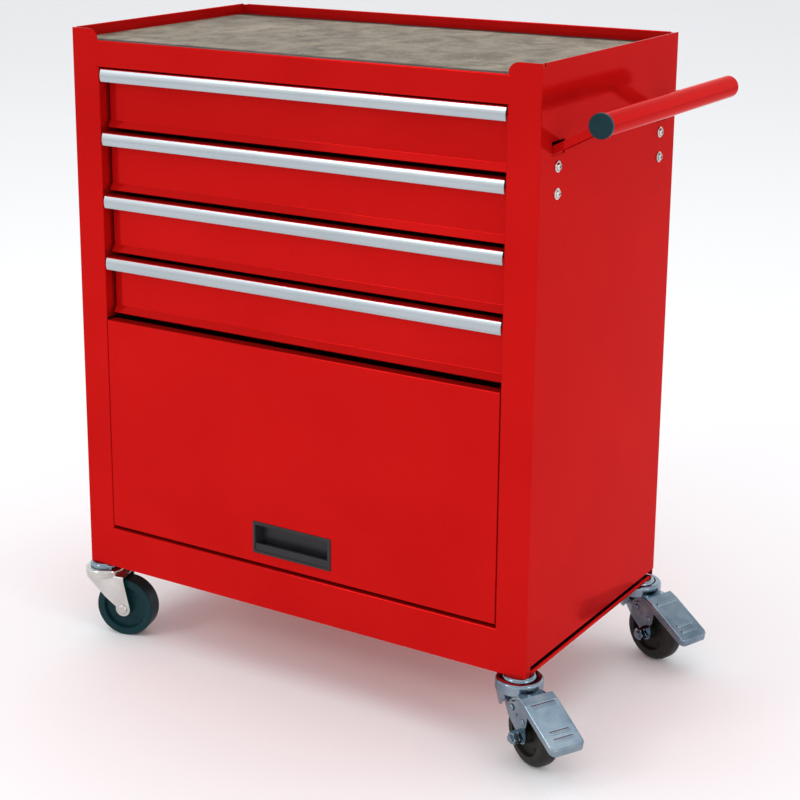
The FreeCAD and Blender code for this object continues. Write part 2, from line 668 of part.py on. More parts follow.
def screw(place, height):
    """A washer-head machine screw with a cross recess, from outside the wall."""
    head_centre = V(HALF_WIDTH, place, height)
    rim = rod(head_centre, X_AXIS, 1.3, 6.3)
    rim = rim.makeFillet(0.8, [e for e in rim.Edges if e.BoundBox.XMin > HALF_WIDTH + 1.2])
    dome = rod(head_centre, X_AXIS, 3.6, 4.4)
    dome = dome.makeFillet(2.2, [e for e in dome.Edges if e.BoundBox.XMin > HALF_WIDTH + 3])
    depth = (HALF_WIDTH + 1.6, HALF_WIDTH + 4)
    upright = box(depth, (place - 0.7, place + 0.7), (height - 2.8, height + 2.8))
    level = box(depth, (place - 2.8, place + 2.8), (height - 0.7, height + 0.7))
    shank = rod(V(HALF_WIDTH - 11, place, height), X_AXIS, 11.2, SCREW_RADIUS)
    return fuse([rim, dome, shank]).cut([upright, level])


def handle_fixings():
    """Four screws, each with its nut behind the arm's tab."""
    pieces = []
    for place in ARM_PLACES:
        for height in SCREW_HEIGHTS:
            pieces.append(screw(place, height))
            nut_face = V(INNER_HALF - ARM_SHEET, place, height)
            pieces.append(hex_prism(nut_face, -X_AXIS, *HANDLE_NUT, SCREW_RADIUS + RUNNING_FIT))
    return group(pieces)


# ---- Casters ----
# A caster is drawn about its own stem: u is the way it trails, v is along the
# axle and z is up from the floor. placed() puts it under its corner.

def placed(shape, caster):
    trail = caster[3]
    under_corner = FreeCAD.Placement(caster_spot(caster), FreeCAD.Rotation(Z_AXIS, trail))
    moved = shape.copy()
    moved.Placement = under_corner.multiply(moved.Placement)
    return moved


def caster_stem():
    """The fixed part: a threaded stem, its head under the fork and a dust cap."""
    stem = rod(V(0, 0, CROWN_LOW - 1), Z_AXIS, 36, STEM_RADIUS)
    tip = Part.makeCone(STEM_RADIUS, STEM_RADIUS - 1, 1.0, V(0, 0, CROWN_LOW + 35), Z_AXIS)
    head = rod(V(0, 0, CROWN_LOW - 2.6), Z_AXIS, 2.2, 8.5)
    cap = rod(V(0, 0, CAP_LOW), Z_AXIS, BODY_BOTTOM - CAP_LOW, CAP_RADIUS)
    cap = cap.makeFillet(4.6, [e for e in cap.Edges if e.BoundBox.ZMin > BODY_BOTTOM - 0.1])
    return fuse([stem, tip, head, cap])


def caster_stems():
    """The four stems with their nuts inside the cabinet."""
    pieces = []
    for caster in CASTERS:
        pieces.append(placed(caster_stem(), caster))
        nut = hex_prism(V(0, 0, BODY_BOTTOM + SHEET), Z_AXIS, *STEM_NUT, STEM_RADIUS + RUNNING_FIT)
        pieces.append(placed(nut, caster))
    return group(pieces)


def leg_outline():
    """What the side of the fork is cut to: wide at the crown, tapering to the
    round boss at the axle."""
    boss = 9.5
    top = CROWN_LOW
    points = [(-21, top), (-21, top - 5), (TRAIL - 9.2, WHEEL_RADIUS + 2.4)]
    right = [(TRAIL + 9.4, WHEEL_RADIUS + 1.5), (TRAIL + 1.5, top - 3), (TRAIL + 1.5, top)]
    place = in_xz(-30)
    edges = []
    for a, b in zip(points, points[1:]):
        edges.append(Part.makeLine(place(*a), place(*b)))
    boss_foot = place(TRAIL, WHEEL_RADIUS - boss)
    edges.append(Part.Arc(place(*points[-1]), boss_foot, place(*right[0])).toShape())
    for a, b in zip(right, right[1:]):
        edges.append(Part.makeLine(place(*a), place(*b)))
    edges.append(Part.makeLine(place(*right[-1]), place(*points[0])))
    return Part.Face(Part.Wire(edges)).extrude(Y_AXIS * 60)


def fork_leg():
    """One leg: flat beside the wheel and pressed inwards behind a crease."""
    outer = LEG_INSIDE + LEG_SHEET
    path = [(-24, 7.5 - outer), (CREASE, -outer), (TRAIL + 12, -outer)]
    low = 20
    sheet = folded(path, in_xy(low), Z_AXIS * (CROWN_LOW - low), thickness=LEG_SHEET, inside=3.0)
    return sheet.common(leg_outline())


def race_ring(radius, top):
    """The pressed ring of the swivel bearing, round above and below."""
    ring = rod(V(0, 0, CROWN_LOW), Z_AXIS, top - CROWN_LOW, radius)
    ring = ring.makeFillet(3.2, [e for e in ring.Edges if e.BoundBox.ZMin > top - 0.1])
    return ring.makeFillet(2.0, [e for e in ring.Edges if e.BoundBox.ZMax < CROWN_LOW + 0.1])


def caster_fork(ring):
    """A pressed fork: crown, two legs and the ring of the swivel bearing."""
    outer = LEG_INSIDE + LEG_SHEET
    leg = fork_leg()
    crown_top = CROWN_LOW + LEG_SHEET
    crown = box((0, TRAIL + 1.5), (-outer, outer), (CROWN_LOW, crown_top))
    shoulders = [e for e in crown.Edges if e.BoundBox.ZMin > crown_top - 0.1 and e.BoundBox.XLength > 5]
    crown = crown.makeFillet(2.0, shoulders)
    fork = fuse([crown, leg, leg.mirror(V(0, 0, 0), Y_AXIS), ring])
    stem_bore = rod(V(0, 0, CROWN_LOW - 1), Z_AXIS, 20, STEM_RADIUS + RUNNING_FIT)
    axle_bore = rod(V(TRAIL, -outer - 1, WHEEL_RADIUS), Y_AXIS, 2 * outer + 2, AXLE_RADIUS + RUNNING_FIT)
    return fork.cut([stem_bore, axle_bore])


def plain_fork():
    return caster_fork(race_ring(RACE_RADIUS, RACE_TOP))


def shroud():
    """The drawn skirt behind the stem, from the bowl down into the legs."""
    low_radius, high_radius = SHROUD_RADII
    height = CROWN_LOW + 1 - SHROUD_LOW
    foot = V(0, 0, SHROUD_LOW)
    skin = Part.makeCone(low_radius, high_radius, height, foot, Z_AXIS)
    skin = skin.cut(Part.makeCone(low_radius - LEG_SHEET, high_radius - LEG_SHEET, height, foot, Z_AXIS))
    rim = CROWN_LOW + 1
    side_view = [
        (-BOWL_RADIUS, SHROUD_LOW),
        (-4, SHROUD_LOW),
        (SHROUD_REACH, CROWN_LOW - 4),
        (SHROUD_REACH, rim),
        (-BOWL_RADIUS, rim),
    ]
    return skin.common(plate(side_view, in_xz(-BOWL_RADIUS), Y_AXIS * (2 * BOWL_RADIUS)))


def brake_fork():
    """The same fork with a wider, bowl-shaped ring over a drawn skirt, and a
    stub rivet on each side for the brake pedal."""
    outer = LEG_INSIDE + LEG_SHEET
    pivot_u, pivot_z = PEDAL_PIVOT
    shank = rod(V(pivot_u, outer - 1, pivot_z), Y_AXIS, 4.2, 2.5)
    head = rod(V(pivot_u, outer + 3.1, pivot_z), Y_AXIS, 1.4, 4.0)
    head = head.makeFillet(0.9, [e for e in head.Edges if e.BoundBox.YMin > outer + 4.4])
    rivet = fuse([shank, head])
    bowl = race_ring(BOWL_RADIUS, BOWL_TOP)
    bowl = bowl.cut(rod(V(0, 0, RACE_TOP), Z_AXIS, 20, BOWL_INSIDE))
    return fuse([caster_fork(bowl), shroud(), rivet, rivet.mirror(V(0, 0, 0), Y_AXIS)])


def caster_wheel(shoulder, web):
    """A moulded wheel: tread with round shoulders, flat rim, hub and a sunk web
    with four round marks on each side."""
    half = WHEEL_WIDTH / 2
    bore = AXLE_RADIUS + RUNNING_FIT
    hub_face = half + 2.2
    floor = half - 5.0
    start = WHEEL_RADIUS - shoulder
    mid = shoulder * math.sqrt(0.5)
    profile = [
        (bore, 0), (bore, hub_face), (9.0, hub_face), (10.2, floor),
        (web - 1.2, floor), (web, half), (start, half),
    ]
    points = [V(r, 0, v) for r, v in profile]
    edges = [Part.makeLine(a, b) for a, b in zip(points, points[1:])]
    middle = V(start + mid, 0, half - shoulder + mid)
    end = V(WHEEL_RADIUS, 0, half - shoulder)
    edges.append(Part.Arc(points[-1], middle, end).toShape())
    edges.append(Part.makeLine(end, V(WHEEL_RADIUS, 0, 0)))
    edges.append(Part.makeLine(V(WHEEL_RADIUS, 0, 0), points[0]))
    one_side = Part.Face(Part.Wire(edges)).revolve(V(0, 0, 0), Z_AXIS, 360)
    from_axle, mark_radius, mark_depth = WEB_MARKS
    for turn in (45, 135, 225, 315):
        angle = math.radians(turn)
        mark = V(from_axle * math.cos(angle), from_axle * math.sin(angle), floor - mark_depth)
        one_side = one_side.cut(rod(mark, Z_AXIS, mark_depth + 1, mark_radius))
    wheel = fuse([one_side, one_side.mirror(V(0, 0, 0), Z_AXIS)])
    wheel.Placement = FreeCAD.Placement(V(TRAIL, 0, WHEEL_RADIUS), FreeCAD.Rotation(X_AXIS, 90))
    return wheel


def riveted_axle():
    """A pin with a domed head at each end."""
    outer = LEG_INSIDE + LEG_SHEET
    centre = V(TRAIL, 0, WHEEL_RADIUS)
    pin = rod(centre - Y_AXIS * outer, Y_AXIS, 2 * outer, AXLE_RADIUS)
    head = rod(centre + Y_AXIS * outer, Y_AXIS, 2.4, 6.0)
    head = head.makeFillet(1.9, [e for e in head.Edges if e.BoundBox.YMin > outer + 2.3])
    return fuse([pin, head, head.mirror(V(0, 0, 0), Y_AXIS)])


def bolted_axle():
    """A hexagon bolt from the far side, with a washer and two nuts on the near
    side and the end of its thread beyond them."""
    outer = LEG_INSIDE + LEG_SHEET
    washer_sheet = 1.2
    flats, nut_height = AXLE_NUT
    near = V(TRAIL, -outer, WHEEL_RADIUS)
    far = V(TRAIL, outer, WHEEL_RADIUS)
    thread = washer_sheet + 2 * nut_height + 2.4
    pin = rod(near - Y_AXIS * thread, Y_AXIS, 2 * outer + thread, AXLE_RADIUS)
    washer = rod(near, -Y_AXIS, washer_sheet, 8.0)
    nut = hex_prism(near - Y_AXIS * washer_sheet, -Y_AXIS, flats, nut_height, 0)
    second_nut = nut.translated(-Y_AXIS * nut_height)
    head = hex_prism(far, Y_AXIS, flats, nut_height, 0)
    return fuse([pin, washer, nut, second_nut, head])


def rounded_bar(u, z, half, radius):
    """A raised bar across the pedal, with round ends."""
    bar = rod(V(u, -half, z), Y_AXIS, 2 * half, radius)
    ends = [Part.makeSphere(radius, V(u, v, z)) for v in (-half, half)]
    return fuse([bar] + ends)


def pedal_tread(half):
    """The pedal's pressed top: a shallow tray, open below and at the fork."""
    start, bend, tip = PEDAL_LINE
    below = [(u - 1.5, z - PEDAL_SKIRT) for u, z in (tip, bend, start)]
    solid = plate([start, bend, tip] + below, in_xz(-half), Y_AXIS * (2 * half))
    corners = [e for e in solid.Edges if e.BoundBox.YLength < 0.1 and e.BoundBox.XMin > tip[0] - 2]
    corners = [e for e in corners if e.BoundBox.XLength < 2]
    solid = solid.makeFillet(7.0, corners)

    def on_top(vertex):
        a, b = (start, bend) if vertex.X < bend[0] else (bend, tip)
        height = a[1] + (vertex.X - a[0]) * (b[1] - a[1]) / (b[0] - a[0])
        return abs(vertex.Z - height) < 0.01

    rims = []
    for e in solid.Edges:
        across = e.BoundBox.XLength < 0.1 and e.BoundBox.XMax < tip[0] - 1
        if not across and all(on_top(vertex) for vertex in e.Vertexes):
            rims.append(e)
    solid = solid.makeFillet(2.4, rims)
    inner = [(u, z - PEDAL_SHEET) for u, z in (start, bend, tip)]
    inner[0] = (start[0] - 2, inner[0][1] + 0.8)
    inner[2] = (tip[0] - 3.2, inner[2][1] + 1.8)
    under = [(tip[0] - 3.2, 40.0), (start[0] - 2, 60.0)]
    wall = half - PEDAL_SHEET
    hollow = plate(inner + under, in_xz(-wall), Y_AXIS * (2 * wall))
    return solid.cut(hollow)


def brake_pedal():
    """A pressed pedal over the wheel: the tread slopes down and out from the
    fork, with two cheeks beside the legs and a shoe above the wheel."""
    cheek_inside = LEG_INSIDE + LEG_SHEET + 0.35
    cheek_face = cheek_inside + PEDAL_SHEET
    tread = pedal_tread(PEDAL_HALF)
    beads = [rounded_bar(*bead) for bead in PEDAL_BEADS]
    pivot_u, pivot_z = PEDAL_PIVOT
    lobe_u, lobe_z = PEDAL_LOBE
    outline = [(13.0, 59.7), (32.8, 49.7), (43.5, 56.5), (47, 75.0), (33.5, 82.0), (17.0, 72.9)]
    web = plate(outline, in_xz(cheek_inside), Y_AXIS * PEDAL_SHEET)
    eye = rod(V(pivot_u, cheek_inside, pivot_z), Y_AXIS, PEDAL_SHEET, 7.0)
    lobe = rod(V(lobe_u, cheek_inside, lobe_z), Y_AXIS, PEDAL_SHEET, 7.5)
    cheek = fuse([web, eye, lobe])
    stud = rod(V(lobe_u, cheek_face - 0.2, lobe_z), Y_AXIS, 1.6, 4.0)
    stud = stud.makeFillet(1.2, [e for e in stud.Edges if e.BoundBox.YMin > cheek_face + 1.3])
    pip = rod(V(24.5, cheek_face - 0.2, 60.5), Y_AXIS, 1.1, 1.8)
    cheek = fuse([cheek, stud, pip])
    shoe_foot = WHEEL_RADIUS + math.sqrt(WHEEL_RADIUS ** 2 - (40 - TRAIL) ** 2) + 0.5
    shoe = box((40, 47), (-8, 8), (shoe_foot, 76.6))
    pedal = fuse([tread] + beads + [cheek, cheek.mirror(V(0, 0, 0), Y_AXIS), shoe])
    pivot_bore = rod(V(pivot_u, -PEDAL_HALF, pivot_z), Y_AXIS, 2 * PEDAL_HALF, 2.5 + RUNNING_FIT)
    return pedal.cut(pivot_bore)


# ---- Assembly ----

def build():
    """Every node of the tool box, by name, in the cabinet's own place."""
    nodes = {
        "left_side_panel": side_panel(-1),
        "right_side_panel": side_panel(1),
        "back_panel": back_panel(),
        "top_panel": top_panel(),
        "front_sill": front_sill(),
        "base_tray": base_tray(),
        "divider_shelf": divider_shelf(),
        "rear_uprights": rear_uprights(),
        "top_mat": top_mat(),
        "door_panel": door_panel(),
        "door_pull": door_pull(),
        "door_rod": door_rod(),
        "door_sliders": door_sliders(),
        "door_guides": door_guides(),
        "door_magnets": door_magnets(),
        "handle_arms": group([handle_arm(place) for place in ARM_PLACES]),
        "handle_tube": handle_tube(),
        "handle_end_caps": handle_end_caps(),
        "handle_fixings": handle_fixings(),
        "caster_stems": caster_stems(),
    }
    fixed_rails = []
    for number in range(1, DRAWER_COUNT + 1):
        nodes[f"drawer_tray_{number}"] = drawer_tray(number)
        nodes[f"drawer_front_{number}"] = drawer_front(number)
        nodes[f"drawer_pull_{number}"] = drawer_pull(number)
        nodes[f"drawer_liner_{number}"] = drawer_liner(number)
        nodes[f"inner_rails_{number}"] = inner_rails(number)
        nodes[f"middle_rails_{number}"] = middle_rails(number)
        fixed_rails += [outer_rail(number), mirrored(outer_rail(number))]
    nodes["outer_rails"] = group(fixed_rails)
    for caster in CASTERS:
        name = caster[0]
        brake = caster[4]
        fork = brake_fork() if brake else plain_fork()
        axle = bolted_axle() if brake else riveted_axle()
        wheel = caster_wheel(*(BRAKED_WHEEL if brake else PLAIN_WHEEL))
        nodes[f"caster_fork_{name}"] = placed(fork, caster)
        nodes[f"caster_wheel_{name}"] = placed(wheel, caster)
        nodes[f"caster_axle_{name}"] = placed(axle, caster)
        if brake:
            nodes[f"brake_pedal_{name}"] = placed(brake_pedal(), caster)
    return nodes


def outline_centre(nodes):
    """The middle of the whole outline, seen from above."""
    whole = FreeCAD.BoundBox()
    for shape in nodes.values():
        whole.add(shape.optimalBoundingBox(False))
    return V(whole.Center.x, whole.Center.y, 0)


NODES = build()
ORIGIN = outline_centre(NODES)

os.makedirs("parts", exist_ok=True)
for node_name, node_shape in NODES.items():
    node_shape.translated(-ORIGIN).exportStep(f"parts/{node_name}.step")
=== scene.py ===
import json
import math

import bmesh
import bpy
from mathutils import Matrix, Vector


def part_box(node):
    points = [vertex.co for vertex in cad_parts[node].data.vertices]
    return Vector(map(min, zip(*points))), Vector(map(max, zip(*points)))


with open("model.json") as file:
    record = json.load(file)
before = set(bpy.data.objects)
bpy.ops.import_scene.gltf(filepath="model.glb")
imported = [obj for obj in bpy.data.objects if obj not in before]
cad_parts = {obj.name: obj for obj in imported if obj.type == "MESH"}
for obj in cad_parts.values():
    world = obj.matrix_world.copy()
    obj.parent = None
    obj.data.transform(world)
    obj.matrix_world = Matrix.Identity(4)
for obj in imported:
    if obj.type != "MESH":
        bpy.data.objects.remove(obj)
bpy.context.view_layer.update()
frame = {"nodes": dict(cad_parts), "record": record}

# The look of a rolling tool box: paint, plating, plastic and rubber for the CAD
# pieces, a pale floor and soft light. Everything is in metres, in the frame of
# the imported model. Colours are linear red, green and blue.

MM = 0.001

# ---- Camera ----
# The camera stands in front and to the right, a little above the top. Its place
# is taken from the front, left, lower corner of the left side panel, and its
# shift moves the cabinet in the frame without turning the view.
AZIMUTH = math.radians(33.16)
ELEVATION = math.radians(14.94)
CAMERA_FROM_CORNER = Vector((1.4488, -1.6426, 0.9052))
SENSOR_WIDTH = 36.0
FOCAL_PER_WIDTH = 2.3
SHIFT_ACROSS = 0.075
SHIFT_UP = -0.1125
NEAREST_SEEN = 0.05
FURTHEST_SEEN = 50.0

cabinet_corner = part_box("left_side_panel")[0]
towards_camera = Vector((
    math.sin(AZIMUTH) * math.cos(ELEVATION),
    -math.cos(AZIMUTH) * math.cos(ELEVATION),
    math.sin(ELEVATION),
))
camera_data = bpy.data.cameras.new("camera")
camera_data.sensor_width = SENSOR_WIDTH
camera_data.lens = SENSOR_WIDTH * FOCAL_PER_WIDTH
camera_data.shift_x = SHIFT_ACROSS
camera_data.shift_y = SHIFT_UP
camera_data.clip_start = NEAREST_SEEN
camera_data.clip_end = FURTHEST_SEEN
camera = bpy.data.objects.new("camera", camera_data)
camera.location = cabinet_corner + CAMERA_FROM_CORNER
camera.rotation_mode = "QUATERNION"
camera.rotation_quaternion = towards_camera.to_track_quat("Z", "Y")
bpy.context.scene.collection.objects.link(camera)
bpy.context.scene.camera = camera


# ---- Materials ----

# Near black, painted as shade into the tray's cavity under the side panels.
PAINTED_CAVITY_SHADE = (0.010, 0.008, 0.008)
RED_PAINT = (0.505, 0.0068, 0.0063)
RED_PAINT_LIGHT = (0.545, 0.0084, 0.0076)
RED_GLINT = (1.0, 0.25, 0.22, 1.0)
PAINT_RELIEF = 0.03 * MM
# The painted shade of the dark gap under the side panels lies between these distances from a piece's
# two sides.
CAVITY_NEAR = 3.3 * MM
CAVITY_FAR = 24.4 * MM
CAVITY_BLUR = 0.2 * MM

ALUMINIUM_DARK = (0.40, 0.445, 0.47)
ALUMINIUM_LIGHT = (0.46, 0.505, 0.53)
ALUMINIUM_RELIEF = 0.03 * MM
ZINC_RELIEF = 0.03 * MM
SLIDE_DARK = (0.46, 0.48, 0.51)
SLIDE_LIGHT = (0.60, 0.62, 0.65)
SLIDE_RELIEF = 0.04 * MM
PLASTIC_RELIEF = 0.05 * MM
RUBBER_RELIEF = 0.1 * MM

# Painted shade along the mat's front and rear edge.
MAT_EDGE_SHADE = (0.020, 0.016, 0.012)
MAT_DARK = (0.125, 0.103, 0.074)
MAT_MIDDLE = (0.230, 0.196, 0.147)
MAT_LIGHT = (0.330, 0.288, 0.222)
MAT_RELIEF = 0.3 * MM
# The painted shade along the mat's front and rear edge is darkest up to the first distance from the
# edge, and gone at the second.
MAT_EDGE_SHADE_FULL = 5.0 * MM
MAT_EDGE_SHADE_GONE = 17.0 * MM

FOAM_DARK = (0.010, 0.010, 0.011)
FOAM_LIGHT = (0.030, 0.030, 0.032)
FOAM_RELIEF = 0.3 * MM


class Nodes:
    """A material's node tree, with short calls for the nodes that repeat."""

    def __init__(self, name):
        self.material = bpy.data.materials.new(name)
        self.material.use_nodes = True
        self.tree = self.material.node_tree
        self.shader = self.tree.nodes["Principled BSDF"]
        self.place = self.tree.nodes.new("ShaderNodeTexCoord").outputs["Object"]

    def set(self, **values):
        for name, value in values.items():
            self.shader.inputs[name.replace("_", " ")].default_value = value

    def link(self, source, target):
        self.tree.links.new(source, target)

    def stretched(self, scale):
        """Object coordinates scaled along each axis, for brushing and streaks."""
        mapping = self.tree.nodes.new("ShaderNodeMapping")
        mapping.inputs["Scale"].default_value = scale
        self.link(self.place, mapping.inputs["Vector"])
        return mapping.outputs["Vector"]

    def noise(self, scale, detail=3.0, roughness=0.5, vector=None, distortion=0.0):
        node = self.tree.nodes.new("ShaderNodeTexNoise")
        node.inputs["Scale"].default_value = scale
        node.inputs["Detail"].default_value = detail
        node.inputs["Roughness"].default_value = roughness
        node.inputs["Distortion"].default_value = distortion
        self.link(vector or self.place, node.inputs["Vector"])
        return node.outputs["Fac"]

    def cells(self, scale):
        node = self.tree.nodes.new("ShaderNodeTexVoronoi")
        node.inputs["Scale"].default_value = scale
        self.link(self.place, node.inputs["Vector"])
        return node.outputs["Distance"]

    def ramp(self, value, stops):
        """Colours or greys along a value. stops holds (position, colour)."""
        node = self.tree.nodes.new("ShaderNodeValToRGB")
        elements = node.color_ramp.elements
        while len(elements) < len(stops):
            elements.new(0.5)
        for element, (position, colour) in zip(elements, stops):
            element.position = position
            element.color = (*colour, 1.0)
        self.link(value, node.inputs["Fac"])
        return node.outputs["Color"]

    def spread(self, value, low, high, start=0.3, end=0.7):
        """Maps a value from start..end to low..high."""
        node = self.tree.nodes.new("ShaderNodeMapRange")
        node.inputs["From Min"].default_value = start
        node.inputs["From Max"].default_value = end
        node.inputs["To Min"].default_value = low
        node.inputs["To Max"].default_value = high
        self.link(value, node.inputs["Value"])
        return node.outputs["Result"]

    def maths(self, operation, *values):
        """A maths node, fed with outputs of other nodes and with plain numbers."""
        node = self.tree.nodes.new("ShaderNodeMath")
        node.operation = operation
        for socket, value in zip(node.inputs, values):
            if isinstance(value, float):
                socket.default_value = value
            else:
                self.link(value, socket)
        return node.outputs["Value"]

    def add(self, first, second, weight=1.0):
        return self.maths("MULTIPLY_ADD", second, weight, first)

    def along(self, axis):
        """Where a point lies along the X, Y or Z axis."""
        parts = self.tree.nodes.new("ShaderNodeSeparateXYZ")
        self.link(self.place, parts.inputs["Vector"])
        return parts.outputs[axis]

    def inside_edge(self, piece, edge, middle):
        """0 on the front and rear edge of a piece, 1 further in than middle."""
        low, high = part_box(piece)
        depth = self.along("Y")
        front = self.spread(depth, 0.0, 1.0, low.y + edge, low.y + middle)
        rear = self.spread(depth, 0.0, 1.0, high.y - edge, high.y - middle)
        return self.maths("MULTIPLY", front, rear)

    def side_cavity(self, piece, near, far):
        """1 between near and far from a piece's left and right side, else 0."""
        low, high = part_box(piece)
        centre = (low.x + high.x) / 2
        side = (high.x - low.x) / 2
        distance = self.maths("ABSOLUTE", self.maths("SUBTRACT", self.along("X"), centre))
        outer = self.spread(distance, 1.0, 0.0, side - near, side - near + CAVITY_BLUR)
        inner = self.spread(distance, 0.0, 1.0, side - far - CAVITY_BLUR, side - far)
        return self.maths("MULTIPLY", outer, inner)

    def bump(self, height, distance, strength=1.0):
        node = self.tree.nodes.new("ShaderNodeBump")
        node.inputs["Strength"].default_value = strength
        node.inputs["Distance"].default_value = distance
        self.link(height, node.inputs["Height"])
        self.link(node.outputs["Normal"], self.shader.inputs["Normal"])

    def colour(self, output):
        self.link(output, self.shader.inputs["Base Color"])

    def roughness(self, output):
        self.link(output, self.shader.inputs["Roughness"])


def powder_coat(name, cavity_of=None):
    """Gloss red powder coat: an even red with a fine orange peel, whose flakes tint what it mirrors.
    The cavity along a piece's sides is darkened to near black as painted shade."""
    n = Nodes(name)
    tone = n.spread(n.noise(7.0, detail=2.0), 0.5, 1.0)
    if cavity_of:
        # Painted shade: the band inside the piece's sides turns near black.
        tone = n.add(tone, n.side_cavity(cavity_of, CAVITY_NEAR, CAVITY_FAR), -1.0)
    n.colour(n.ramp(tone, [(0.1, PAINTED_CAVITY_SHADE), (0.5, RED_PAINT), (1.0, RED_PAINT_LIGHT)]))
    n.roughness(n.spread(n.noise(60.0), 0.09, 0.14))
    peel = n.noise(420.0, detail=2.0, roughness=0.45)
    wave = n.noise(70.0, detail=1.0)
    n.bump(n.add(peel, wave, 1.2), PAINT_RELIEF, strength=0.3)
    n.set(Metallic=0.50, Specular_IOR_Level=0.03, Specular_Tint=RED_GLINT)
    return n.material


def satin_aluminium():
    """Silver anodised aluminium, drawn along its length."""
    n = Nodes("satin_aluminium")
    lines = n.noise(1.0, 4.0, 0.6, n.stretched((14.0, 1800.0, 1800.0)))
    cloud = n.noise(5.0, detail=2.0)
    n.colour(n.ramp(cloud, [(0.3, ALUMINIUM_DARK), (0.7, ALUMINIUM_LIGHT)]))
    n.roughness(n.spread(lines, 0.26, 0.38))
    n.bump(lines, ALUMINIUM_RELIEF, strength=0.5)
    n.set(Metallic=1.0, Anisotropic=0.4)
    return n.material


def zinc_plate(name, dark, middle, light, rough_low, rough_high):
    """Bright zinc plating: soft clouds of tone and fine handling marks."""
    n = Nodes(name)
    mottle = n.noise(48.0)
    cloud = n.noise(14.0, detail=2.0)
    tone = n.spread(n.add(mottle, cloud, 0.6), 0.0, 1.0, start=0.55, end=1.05)
    n.colour(n.ramp(tone, [(0.0, dark), (0.5, middle), (1.0, light)]))
    n.roughness(n.spread(mottle, rough_low, rough_high))
    scratch = n.noise(1.0, 5.0, 0.7, n.stretched((900.0, 120.0, 160.0)))
    n.bump(n.add(mottle, scratch, 0.5), ZINC_RELIEF, strength=0.25)
    n.set(Metallic=1.0)
    return n.material


def slide_zinc():
    """Roll-formed slide steel, zinc plated, with lines along its travel."""
    n = Nodes("slide_zinc")
    lines = n.noise(1.0, 4.0, 0.6, n.stretched((1500.0, 18.0, 1500.0)))
    n.colour(n.ramp(lines, [(0.3, SLIDE_DARK), (0.7, SLIDE_LIGHT)]))
    n.roughness(n.spread(lines, 0.26, 0.42))
    n.bump(lines, SLIDE_RELIEF, strength=0.5)
    n.set(Metallic=1.0)
    return n.material


def moulded(name, dark, light, rough_low, rough_high, grain=1500.0, relief=PLASTIC_RELIEF, gloss=0.3):
    """Moulded plastic or rubber with a fine spark-eroded grain."""
    n = Nodes(name)
    cloud = n.noise(30.0)
    n.colour(n.ramp(cloud, [(0.3, dark), (0.7, light)]))
    n.roughness(n.spread(n.noise(200.0), rough_low, rough_high))
    n.bump(n.noise(grain, detail=2.0), relief, strength=0.6)
    n.set(Specular_IOR_Level=gloss)
    return n.material


def top_mat_rubber():
    """The grey-brown anti-slip mat: suede-like mottling, a fine grain and painted shade along its
    front and rear edge."""
    n = Nodes("top_mat_rubber")
    streak = n.noise(1.0, 8.0, 0.68, n.stretched((32.0, 23.0, 30.0)), distortion=0.5)
    cloud = n.noise(11.0, detail=5.0, roughness=0.6)
    fibre = n.noise(1.0, 4.0, 0.6, n.stretched((420.0, 150.0, 300.0)), distortion=0.4)
    mottle = n.add(n.add(streak, cloud, 0.6), fibre, 0.35)
    tone = n.spread(mottle, -0.6, 0.1, start=0.74, end=1.20)
    # Painted shade: the mat gets darker towards its front and rear edge.
    edge_shaded = n.add(tone, n.inside_edge("top_mat", MAT_EDGE_SHADE_FULL, MAT_EDGE_SHADE_GONE), 0.9)
    n.colour(n.ramp(edge_shaded, [(0.0, MAT_EDGE_SHADE), (0.4, MAT_DARK), (0.7, MAT_MIDDLE), (1.0, MAT_LIGHT)]))
    n.roughness(n.spread(cloud, 0.62, 0.82))
    n.bump(n.add(fibre, n.cells(420.0), 0.5), MAT_RELIEF, strength=0.5)
    n.set(Specular_IOR_Level=0.3)
    return n.material


def liner_foam():
    """Black foam liner with a fine pitted texture."""
    n = Nodes("liner_foam")
    pits = n.cells(520.0)
    n.colour(n.ramp(pits, [(0.0, FOAM_DARK), (0.6, FOAM_LIGHT)]))
    n.roughness(n.spread(n.noise(120.0), 0.7, 0.9))
    n.bump(pits, FOAM_RELIEF, strength=0.6)
    return n.material


# Moulded and plated finishes: their colours from dark to light, then their least
# and greatest roughness.
FINISHES = {
    "red_powder_coat": powder_coat("powder_coat_red"),
    "pull_aluminium": satin_aluminium(),
    "zinc_plate": zinc_plate(
        "zinc_plate", (0.15, 0.21, 0.27), (0.22, 0.29, 0.35), (0.30, 0.37, 0.42), 0.14, 0.24),
    "slide_zinc": slide_zinc(),
    "black_plastic": moulded(
        "pull_plastic", (0.012, 0.012, 0.014), (0.020, 0.020, 0.023), 0.28, 0.40),
    "end_cap_plastic": moulded(
        "end_cap_plastic", (0.002, 0.022, 0.030), (0.004, 0.032, 0.042), 0.30, 0.42, gloss=0.15),
    "wheel_black": moulded(
        "wheel_plastic", (0.003, 0.026, 0.031), (0.006, 0.036, 0.042), 0.34, 0.48, gloss=0.15),
    "mat": top_mat_rubber(),
    "liner": liner_foam(),
    "nylon": moulded("slider_nylon", (0.62, 0.60, 0.53), (0.72, 0.70, 0.64), 0.35, 0.5),
    "magnet_case": moulded("magnet_case", (0.030, 0.024, 0.020), (0.050, 0.042, 0.036), 0.4, 0.6),
}

